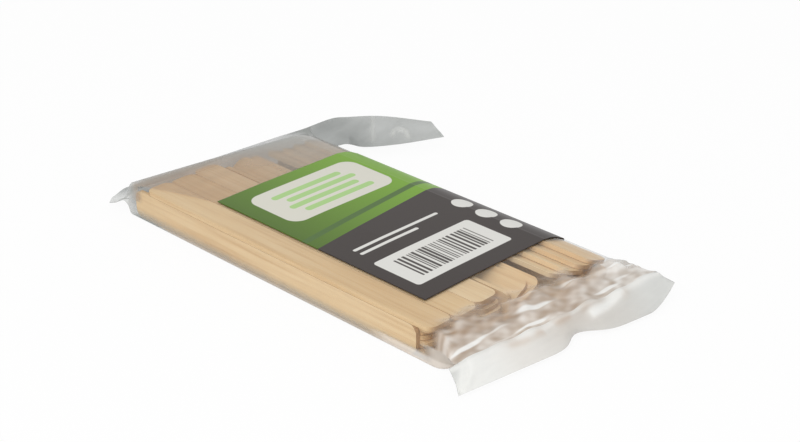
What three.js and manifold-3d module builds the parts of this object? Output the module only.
// Pack of flat wooden sticks in a clear film bag with a paper label on top.
// Millimetres, +Z up. X runs along the sticks from the rear seal to the front seal,
// Y runs across the pack from left to right, and the pack rests on Z = 0.
import * as THREE from 'three';
import { mergeVertices } from 'three/addons/utils/BufferGeometryUtils.js';
import Module from 'manifold-3d';

const wasm = await Module();
wasm.setup();

// Wooden stick: a straight flat strip with rounded corners at both ends
const STICK_LENGTH = 117;
const STICK_WIDTH = 8.8;
const STICK_THICKNESS = 1.3;
const STICK_CORNER_RADIUS = 2.6;
const STICK_CORNER_STEPS = 5;

// Stack of sticks. It has slid over, so each stick lies a little further forward than the one to its left.
const LAYER_GAP = 0.12;
const SLOT_GAP = 0.2;
const LAYER_PITCH = STICK_THICKNESS + LAYER_GAP;
const SLANT = 0.15;
const SLIDE = 1.4;
const TOP_SLIDE = 0.7;
const TOP_FORWARD = 0.7;
const TOP_BACK = 2;
const CAP_FORWARD = 2.8;
const PILE_SPLIT = 3.2;
const MIDDLE_LEAN = 30;
const RIGHT_LEAN = -18.5;

// Each slot across the pack, left to right: sticks lying flat in one or more piles, or one stick on its edge.
// Lift is how far a standing stick is held up off the pack's floor. Apart is extra room to a slot's left.
// Back is how far the top stick has slipped to the rear. A capped pile has one more flat stick over it, in a
// layer that reaches out over the stick on its edge at the left. Tipped sticks lie on the piles, each on the
// next, at a lean in degrees, with their right edges up where it is positive and their left edges up if not.
const SLOTS = [
  { standing: true, lift: 0, back: TOP_BACK },
  { piles: 1, layers: 6, capped: true },
  { piles: 1, layers: 6, capped: true },
  { piles: 1, layers: 6, capped: true, back: TOP_BACK },
  { standing: true, lift: 0.6 },
  { piles: 1, layers: 3, tipped: 2, lean: MIDDLE_LEAN },
  { piles: 2, layers: 4, tipped: 4, lean: RIGHT_LEAN, apart: PILE_SPLIT },
];

// Film bag
const FILM = 0.25;
const FILM_CLEARANCE = 0.25;
const FILM_STEP = 7;
const CORNER_TURN = Math.PI / 5;
const SEAL_THICKNESS = 0.45;
const SEAL_OPEN = 0.8;
const SEAL_LAP = 1;
const SEAL_END_WALLS = 3;
const SEAL_SIDE_WALLS = 8;
const END_ROOM = 0.6;
const VENT_DIAMETER = 3;

// Rear end of the bag: the film closes down to a seal that stands out behind the sticks and droops
const REAR_CLOSE = 5.5;
const REAR_SEAL_HEIGHT = 7.2;
const REAR_SEAL_RISE = 2;
const REAR_EDGE_HEIGHT = 5;
const REAR_EDGE_RISE = 1.2;
const REAR_SEAL_WIDTH = 6;
const REAR_SEAL_SIDE = 1.8;
const REAR_CORNER = 5;

// Loose corner of the rear seal: it runs on past the right side and turns forward, tilted up.
// Its two edges are points [forward of the closed film, out from the right side, up from the seal's edge].
const FLAP_FREE_EDGE = [
  [-0.5, 4, 1],
  [3.5, 14, 3],
  [8, 16.5, 4],
  [17.5, 22, 5.5],
  [30.5, 33, 4],
];
const FLAP_LOW_EDGE = [
  [16, 0.2, 1],
  [20, 4, 2],
  [21, 11, -1],
  [27.5, 20, -1],
  [36, 33.5, 0],
];

// Front end of the bag: the film closes to a ridge, and the seal hangs from it to the floor with a tuck in it
const FRONT_CLOSE = 9.6;
const FRONT_SEAL_HEIGHT = 7;
const FRONT_SEAL_RISE = 1.4;
const FRONT_SEAL_REACH = 7;
const FRONT_SEAL_SIDE = 1.5;
const FRONT_RIDGE_REACH = 0.8;
const FRONT_RIDGE_LEFT = 2.4;
const FRONT_RIDGE_RIGHT = 1.5;
const FRONT_RIDGE_DROP = 1.8;
const FRONT_EDGE_LEFT = 5;
const FRONT_EDGE_RIGHT = 2.5;
const FRONT_EDGE_HEIGHT = 1.2;
const FRONT_EDGE_RISE = 4.5;
const FRONT_TUCK_PLACE = 4;
const FRONT_TUCK_DEPTH = 4.5;
const FRONT_TUCK_WIDTH = 6;

// Paper label
const LABEL_LENGTH = 84;
const LABEL_WIDTH = 59.5;
const LABEL_THICKNESS = 0.15;
const LABEL_GAP = 0.05;
const LABEL_FRONT_MARGIN = 11.7;
const LABEL_LEFT_MARGIN = 9.7;

// Colours
const WOOD = 0xdcc19a;
const CLEAR_FILM = 0xdfe3e2;
const LABEL_PRINT = 0x6f9a3a;

const pack = new THREE.Group();
pack.name = 'stick_pack';

function addMesh(name, geometry, colour, roughness) {
  const material = new THREE.MeshStandardMaterial({ color: colour, roughness, metalness: 0 });
  const mesh = new THREE.Mesh(geometry, material);
  mesh.name = name;
  pack.add(mesh);
  return mesh;
}

// A stick at a lean takes this room across and up, and its like lies this far beside it
function leanSize(roll) {
  const rise = Math.abs(Math.sin(roll));
  const run = Math.cos(roll);
  return {
    width: STICK_WIDTH * run + STICK_THICKNESS * rise,
    height: STICK_WIDTH * rise + STICK_THICKNESS * run,
    pitch: LAYER_PITCH / rise,
  };
}

const slotRoll = (slot) => THREE.MathUtils.degToRad(slot.lean ?? 0);

function slotWidth(slot) {
  if (slot.standing) {
    return STICK_THICKNESS;
  }
  const flat = slot.piles * (STICK_WIDTH + SLOT_GAP) - SLOT_GAP;
  if (!slot.tipped) {
    return flat;
  }
  const tip = leanSize(slotRoll(slot));
  return Math.max(flat, tip.width + tip.pitch * (slot.tipped - 1));
}

// Sticks: every slot is filled from left to right, each pile from the bottom up and the tipped sticks last,
// and the capping layer is laid over them at the end.
// Piles and tipped sticks are counted from the side of the slot where the tipped sticks' low edges lie.
const FLOOR = FILM + FILM_CLEARANCE;
const slotRoom = (slot) => slotWidth(slot) + SLOT_GAP + (slot.apart ?? 0);
const STACK_WIDTH = SLOTS.reduce((sum, slot) => sum + slotRoom(slot), -SLOT_GAP);

// The capping layer lies on the standing stick's edge or on the piles, whichever is higher,
// with its left side in line with the standing stick's face
const cappedLayers = Math.max(...SLOTS.map((slot) => (slot.capped ? slot.layers : 0)));
const CAP_SEAT = Math.max(STICK_WIDTH, cappedLayers * LAYER_PITCH - LAYER_GAP);
const CAP_HEIGHT = CAP_SEAT + LAYER_GAP + STICK_THICKNESS / 2;
const CAP_SHIFT = STICK_THICKNESS + SLOT_GAP;

function layOutSticks() {
  const sticks = [];
  const caps = [];
  const lay = (y, height, roll, forward, slide) => {
    const turn = Math.sin(sticks.length * 2.4);
    sticks.push({ x: SLANT * y + forward + slide * turn, y, z: FLOOR + height, roll });
  };
  let right = -STACK_WIDTH / 2 - SLOT_GAP;
  for (const slot of SLOTS) {
    right += slotRoom(slot);
    const width = slotWidth(slot);
    const roll = slotRoll(slot);
    const forward = TOP_FORWARD - (slot.back ?? 0);
    const fromSide = (distance) => (roll < 0 ? right - distance : right - width + distance);
    if (slot.standing) {
      lay(right - width / 2, slot.lift + STICK_WIDTH / 2, Math.PI / 2, forward, TOP_SLIDE);
      continue;
    }
    for (let pile = 0; pile < slot.piles; pile += 1) {
      const y = fromSide(STICK_WIDTH / 2 + pile * (STICK_WIDTH + SLOT_GAP));
      for (let layer = 0; layer < slot.layers; layer += 1) {
        const top = layer === slot.layers - 1 && !slot.tipped && !slot.capped;
        const height = layer * LAYER_PITCH + STICK_THICKNESS / 2;
        lay(y, height, 0, top ? forward : 0, top ? TOP_SLIDE : SLIDE);
      }
      if (slot.capped) {
        caps.push({ y: y - CAP_SHIFT, forward: CAP_FORWARD - (slot.back ?? 0) });
      }
    }
    const tip = leanSize(roll);
    for (let place = 0; place < (slot.tipped ?? 0); place += 1) {
      const y = fromSide(tip.width / 2 + place * tip.pitch);
      lay(y, slot.layers * LAYER_PITCH + tip.height / 2, roll, forward, TOP_SLIDE);
    }
  }
  for (const cap of caps) {
    lay(cap.y, CAP_HEIGHT, 0, cap.forward, TOP_SLIDE);
  }
  return sticks;
}

function stickGeometry() {
  const radius = Math.min(STICK_CORNER_RADIUS, STICK_WIDTH * 0.49);
  const x = STICK_LENGTH / 2 - radius;
  const y = STICK_WIDTH / 2 - radius;
  const shape = new THREE.Shape();
  shape.absarc(x, y, radius, 0, Math.PI / 2);
  shape.absarc(-x, y, radius, Math.PI / 2, Math.PI);
  shape.absarc(-x, -y, radius, Math.PI, Math.PI * 1.5);
  shape.absarc(x, -y, radius, Math.PI * 1.5, Math.PI * 2);
  const settings = { depth: STICK_THICKNESS, bevelEnabled: false, curveSegments: STICK_CORNER_STEPS };
  return new THREE.ExtrudeGeometry(shape, settings).translate(0, 0, -STICK_THICKNESS / 2);
}

const sticks = layOutSticks();
sticks.forEach((stick, index) => {
  const name = `stick_${String(index + 1).padStart(2, '0')}`;
  const mesh = addMesh(name, stickGeometry(), WOOD, 0.75);
  mesh.position.set(stick.x, stick.y, stick.z);
  mesh.rotation.x = stick.roll;
});

// How far the sticks reach at the middle of the pack, measured along the slant of the stack
const SLANT_ROOM = SLANT * STICK_WIDTH / 2;
const slides = sticks.map((stick) => stick.x - SLANT * stick.y);
const STACK_REAR = Math.min(...slides) - STICK_LENGTH / 2 - SLANT_ROOM;
const STACK_FRONT = Math.max(...slides) + STICK_LENGTH / 2 + SLANT_ROOM;

// The film is drawn tight round the stack, so its outline is the hull of the sticks' corners seen along X
function stickCorners(stick) {
  const corners = [];
  for (const side of [-1, 1]) {
    for (const face of [-1, 1]) {
      const corner = new THREE.Vector2(side * STICK_WIDTH / 2, face * STICK_THICKNESS / 2);
      corner.rotateAround(new THREE.Vector2(), stick.roll);
      corners.push(corner.add(new THREE.Vector2(stick.y, stick.z)));
    }
  }
  return corners;
}

// Corners that lie straight above each other are taken in order of height
function hullOf(points) {
  const sorted = [...points].sort((a, b) => (Math.abs(a.x - b.x) > 1e-6 ? a.x - b.x : a.y - b.y));
  const half = (list) => {
    const chain = [];
    for (const point of list) {
      while (chain.length > 1) {
        const [a, b] = chain.slice(-2);
        const bend = b.clone().sub(a).cross(point.clone().sub(a));
        if (bend > 1e-6) {
          break;
        }
        chain.pop();
      }
      chain.push(point);
    }
    return chain.slice(0, -1);
  };
  return [...half(sorted), ...half(sorted.reverse())];
}

// The hull grown by a distance, with each corner turned in short steps and long edges divided
function grownHull(hull, distance) {
  const outline = [];
  const edgeAngle = (a, b) => Math.atan2(b.y - a.y, b.x - a.x) - Math.PI / 2;
  hull.forEach((corner, index) => {
    const before = hull[(index + hull.length - 1) % hull.length];
    const after = hull[(index + 1) % hull.length];
    const start = edgeAngle(before, corner);
    const turn = (edgeAngle(corner, after) - start + Math.PI * 4) % (Math.PI * 2);
    const steps = Math.max(1, Math.ceil(turn / CORNER_TURN));
    for (let step = 0; step <= steps; step += 1) {
      const angle = start + (turn * step) / steps;
      const point = new THREE.Vector2(Math.cos(angle), Math.sin(angle)).multiplyScalar(distance).add(corner);
      outline.push(point);
    }
    const normal = edgeAngle(corner, after);
    const from = outline[outline.length - 1];
    const to = new THREE.Vector2(Math.cos(normal), Math.sin(normal)).multiplyScalar(distance).add(after);
    const pieces = Math.ceil(from.distanceTo(to) / FILM_STEP);
    for (let piece = 1; piece < pieces; piece += 1) {
      outline.push(from.clone().lerp(to, piece / pieces));
    }
  });
  return outline;
}

// The outline with a point added on both sides at each seal's height
function withSeams(outline, heights) {
  let points = outline;
  for (const height of heights) {
    points = points.flatMap((point, index) => {
      const next = points[(index + 1) % points.length];
      if ((point.y - height) * (next.y - height) >= 0) {
        return [point];
      }
      const crossing = point.clone().lerp(next, (height - point.y) / (next.y - point.y));
      crossing.y = height;
      return [point, crossing];
    });
  }
  return points;
}

// Where each point of the outline lies along its run, over or under a seal's height,
// as a share of the way from the left side to the right
function runShares(points, height) {
  const order = [...points.keys()];
  const seams = order.filter((i) => points[i].y === height).sort((i, j) => points[i].x - points[j].x);
  const [left, right] = seams;
  const shares = new Array(points.length).fill(0);
  for (const step of [1, -1]) {
    const run = [left];
    while (run[run.length - 1] !== right) {
      run.push((run[run.length - 1] + step + points.length) % points.length);
    }
    let length = 0;
    const lengths = run.map((at, i) => {
      length += i ? points[at].distanceTo(points[run[i - 1]]) : 0;
      return length;
    });
    run.forEach((at, i) => {
      shares[at] = lengths[i] / length;
    });
  }
  return shares;
}

const HULL = hullOf(sticks.flatMap(stickCorners));
const HALF_WIDTH = STACK_WIDTH / 2 + FILM_CLEARANCE + FILM;

// One end of the bag: rings of points that close from the full outline (t = 0) to a thin seal (t = 1).
// The top closes early and the underside late, so the film stays clear of the sticks' ends. The hollow, which
// has a skin round it, stops a few walls of film short of the seal and of its sides.
function endRings(points, end, skin) {
  const shares = runShares(points, end.height);
  const reach = end.close - skin * SEAL_END_WALLS;
  const half = end.half - skin * SEAL_SIDE_WALLS;
  const rings = [];
  for (let step = 1; step <= end.steps; step += 1) {
    const t = step / end.steps;
    rings.push(points.map((point, i) => {
      const over = point.y > end.height;
      const y = THREE.MathUtils.lerp(point.x, THREE.MathUtils.lerp(-half, half, shares[i]), t * t);
      const lens = (over ? 1 : -1) * (SEAL_OPEN - skin) * Math.sqrt(4 * shares[i] * (1 - shares[i]));
      const seal = end.height + end.rise * (y / HALF_WIDTH) + lens;
      const z = THREE.MathUtils.lerp(point.y, seal, t ** (over ? end.topPower : end.basePower));
      return new THREE.Vector3(end.start + end.sign * reach * t + SLANT * y, y, z);
    }));
  }
  return rings;
}

const REAR_END = {
  start: STACK_REAR - END_ROOM,
  close: REAR_CLOSE,
  sign: -1,
  height: REAR_SEAL_HEIGHT,
  rise: REAR_SEAL_RISE,
  half: HALF_WIDTH + REAR_SEAL_SIDE,
  topPower: 1.1,
  basePower: 3,
  steps: 5,
};
const FRONT_END = {
  start: STACK_FRONT + END_ROOM,
  close: FRONT_CLOSE,
  sign: 1,
  height: FRONT_SEAL_HEIGHT,
  rise: FRONT_SEAL_RISE,
  half: HALF_WIDTH + FRONT_SEAL_SIDE,
  topPower: 1.8,
  basePower: 2.5,
  steps: 6,
};

// A closed solid from an indexed surface, turned right side out
function solidFrom(points, faces) {
  const positions = new Float32Array(points.flatMap((p) => [p.x, p.y, p.z]));
  let volume = 0;
  for (const [a, b, c] of faces) {
    volume += points[a].dot(points[b].clone().cross(points[c]));
  }
  const wound = volume > 0 ? faces : faces.map(([a, b, c]) => [a, c, b]);
  const geometry = new THREE.BufferGeometry();
  geometry.setAttribute('position', new THREE.BufferAttribute(positions, 3));
  geometry.setIndex(wound.flat());
  return geometry;
}

function toManifold(geometry) {
  const bare = geometry.clone();
  bare.deleteAttribute('normal');
  bare.deleteAttribute('uv');
  const merged = mergeVertices(bare, 1e-4);
  const mesh = new wasm.Mesh({
    numProp: 3,
    vertProperties: new Float32Array(merged.attributes.position.array),
    triVerts: new Uint32Array(merged.index.array),
  });
  return new wasm.Manifold(mesh);
}

function fromManifold(solid) {
  const mesh = solid.getMesh();
  const geometry = new THREE.BufferGeometry();
  geometry.setAttribute('position', new THREE.BufferAttribute(new Float32Array(mesh.vertProperties), 3));
  geometry.setIndex(new THREE.BufferAttribute(new Uint32Array(mesh.triVerts), 1));
  geometry.computeVertexNormals();
  return geometry;
}

// Rings of equal size joined into a closed skin, each end filled by a fan
function loft(rings) {
  const count = rings[0].length;
  const points = rings.flat();
  const faces = [];
  for (let ring = 0; ring < rings.length - 1; ring += 1) {
    for (let i = 0; i < count; i += 1) {
      const a = ring * count + i;
      const b = ring * count + ((i + 1) % count);
      faces.push([a, b, b + count], [a, b + count, a + count]);
    }
  }
  for (const ring of [0, rings.length - 1]) {
    const middle = new THREE.Vector3();
    rings[ring].forEach((point) => middle.addScaledVector(point, 1 / count));
    const hub = points.push(middle) - 1;
    for (let i = 0; i < count; i += 1) {
      const a = ring * count + i;
      const b = ring * count + ((i + 1) % count);
      faces.push(ring === 0 ? [hub, b, a] : [hub, a, b]);
    }
  }
  return solidFrom(points, faces);
}

// The whole bag at a distance from the sticks, from the rear seal to the front seal
function bagSolid(distance, skin) {
  const points = withSeams(grownHull(HULL, distance), [REAR_END.height, FRONT_END.height]);
  const ringAt = (x) => points.map((point) => new THREE.Vector3(x + SLANT * point.x, point.x, point.y));
  return toManifold(loft([
    ...endRings(points, REAR_END, skin).reverse(),
    ringAt(REAR_END.start),
    ringAt(FRONT_END.start),
    ...endRings(points, FRONT_END, skin),
  ]));
}

// A thin sheet: rows of points on its middle surface, thickened along the surface's normal
function sheet(rows, thickness) {
  const count = rows[0].length;
  const at = (r, c) => rows[Math.min(Math.max(r, 0), rows.length - 1)][Math.min(Math.max(c, 0), count - 1)];
  const shifted = (offset) => rows.map((row, r) => row.map((point, c) => {
    const along = at(r, c + 1).clone().sub(at(r, c - 1));
    const across = at(r + 1, c).clone().sub(at(r - 1, c));
    return point.clone().addScaledVector(along.cross(across).normalize(), offset);
  }));
  const points = [...shifted(thickness / 2).flat(), ...shifted(-thickness / 2).flat()];
  const back = rows.length * count;
  const faces = [];
  const quad = (a, b, c, d) => faces.push([a, b, c], [a, c, d]);
  for (let r = 0; r < rows.length - 1; r += 1) {
    for (let c = 0; c < count - 1; c += 1) {
      const a = r * count + c;
      quad(a, a + 1, a + 1 + count, a + count);
      quad(back + a, back + a + count, back + a + 1 + count, back + a + 1);
    }
    const left = r * count;
    const right = left + count - 1;
    quad(left, left + count, back + left + count, back + left);
    quad(right, back + right, back + right + count, right + count);
  }
  for (let c = 0; c < count - 1; c += 1) {
    const last = (rows.length - 1) * count + c;
    quad(c, back + c, back + c + 1, c + 1);
    quad(last, last + 1, back + last + 1, back + last);
  }
  return solidFrom(points, faces);
}

const smooth = (points, count) => new THREE.CatmullRomCurve3(points, false, 'centripetal').getPoints(count);
const between = (a, b, share) => a.map((point, i) => point.clone().lerp(b[i], share));
const slanted = (x, y, z) => new THREE.Vector3(x + SLANT * y, y, z);

// Rear seal with its loose corner: a straight band behind the sticks, then the flap's two edges
function rearSeal() {
  const root = REAR_END.start - REAR_CLOSE;
  const side = REAR_END.half;
  const straight = (points) => new THREE.CatmullRomCurve3(points, false, 'catmullrom', 0).getSpacedPoints(12);
  const flap = (points, start) => smooth([
    start,
    ...points.map(([x, y, z]) => new THREE.Vector3(root + x, HALF_WIDTH + y, REAR_EDGE_HEIGHT + z)),
  ], 16).slice(1);
  const band = (x, corner, height, rise) => straight([
    [root + x + corner, -side],
    [root + x, -side + corner],
    [root + x, HALF_WIDTH * 0.85],
  ].map(([along, y]) => slanted(along, y, height + rise * (y / HALF_WIDTH))));
  const held = band(SEAL_LAP, SEAL_LAP, REAR_SEAL_HEIGHT, REAR_SEAL_RISE);
  const free = band(-REAR_SEAL_WIDTH, REAR_CORNER, REAR_EDGE_HEIGHT, REAR_EDGE_RISE);
  held.push(...flap(FLAP_LOW_EDGE, held[held.length - 1]));
  free.push(...flap(FLAP_FREE_EDGE, free[free.length - 1]));
  return sheet([held, between(held, free, 0.5), free], SEAL_THICKNESS);
}

// Front seal: it leaves the closed film at the ridge and hangs to the floor
function frontSeal() {
  const steps = 24;
  const shares = Array.from({ length: steps + 1 }, (_, i) => i / steps);
  const ridgeX = FRONT_END.start + FRONT_CLOSE;
  const ridgeAt = (share, x, left, right) => {
    const y = THREE.MathUtils.lerp(-FRONT_END.half - left, FRONT_END.half + right, share);
    const drop = FRONT_RIDGE_DROP * Math.max(0, (y - FRONT_END.half) / FRONT_RIDGE_RIGHT);
    return slanted(x, y, FRONT_SEAL_HEIGHT + FRONT_SEAL_RISE * (y / HALF_WIDTH) - drop);
  };
  const root = shares.map((share) => ridgeAt(0.02 + share * 0.96, ridgeX - SEAL_LAP, 0, 0));
  const ridge = shares.map((share) => (
    ridgeAt(share, ridgeX + FRONT_RIDGE_REACH, FRONT_RIDGE_LEFT, FRONT_RIDGE_RIGHT)
  ));
  const edge = shares.map((share) => {
    const left = -FRONT_END.half - FRONT_EDGE_LEFT;
    const y = THREE.MathUtils.lerp(left, FRONT_END.half + FRONT_EDGE_RIGHT, share);
    const tuck = FRONT_TUCK_DEPTH * Math.exp(-(((y - FRONT_TUCK_PLACE) / FRONT_TUCK_WIDTH) ** 2));
    const rise = FRONT_EDGE_RISE * Math.max(0, (share - 0.85) / 0.15) ** 1.5;
    return slanted(ridgeX + FRONT_SEAL_REACH - tuck - rise * 0.6, y, FRONT_EDGE_HEIGHT + rise);
  });
  return sheet([root, ridge, between(ridge, edge, 0.5), edge], SEAL_THICKNESS);
}

function ventHole() {
  const depth = FLOOR * 2;
  return new THREE.CylinderGeometry(VENT_DIAMETER / 2, VENT_DIAMETER / 2, depth, 16)
    .rotateX(Math.PI / 2)
    .translate(STACK_REAR + VENT_DIAMETER * 2, 0, 0);
}

const filmWrap = bagSolid(FILM_CLEARANCE + FILM, 0)
  .add(toManifold(rearSeal()))
  .add(toManifold(frontSeal()))
  .subtract(bagSolid(FILM_CLEARANCE, FILM))
  .subtract(toManifold(ventHole()));
addMesh('film_wrap', fromManifold(filmWrap), CLEAR_FILM, 0.15);

// Label: a strip that starts on top of the film, follows it to the right and bends over its right edge
function labelShape() {
  const outline = grownHull(HULL, FILM_CLEARANCE + FILM + LABEL_GAP).reverse();
  const leftEdge = LABEL_LEFT_MARGIN - HALF_WIDTH;
  const first = outline.findIndex((point, i) => {
    const next = outline[(i + 1) % outline.length];
    return point.x <= leftEdge && next.x > leftEdge;
  });
  const next = outline[(first + 1) % outline.length];
  const along = (leftEdge - outline[first].x) / (next.x - outline[first].x);
  const under = [outline[first].clone().lerp(next, along)];
  let left = LABEL_WIDTH;
  for (let i = first + 1; left > 1e-6; i += 1) {
    const from = under[under.length - 1];
    const to = outline[i % outline.length];
    const length = from.distanceTo(to);
    under.push(from.clone().lerp(to, Math.min(1, left / length)));
    left -= length;
  }
  const over = under.map((point, i) => {
    const ahead = under[Math.min(i + 1, under.length - 1)];
    const behind = under[Math.max(i - 1, 0)];
    const run = ahead.clone().sub(behind).normalize();
    return point.clone().add(new THREE.Vector2(-run.y, run.x).multiplyScalar(LABEL_THICKNESS));
  });
  return new THREE.Shape([...under, ...over.reverse()]);
}

const labelGeometry = new THREE.ExtrudeGeometry(labelShape(), { depth: LABEL_LENGTH, bevelEnabled: false });
const label = addMesh('label', labelGeometry, LABEL_PRINT, 0.45);
label.quaternion.setFromRotationMatrix(new THREE.Matrix4().makeBasis(
  new THREE.Vector3(0, 1, 0),
  new THREE.Vector3(0, 0, 1),
  new THREE.Vector3(1, 0, 0),
));
label.position.x = STICK_LENGTH / 2 - LABEL_FRONT_MARGIN - LABEL_LENGTH;

export default pack;
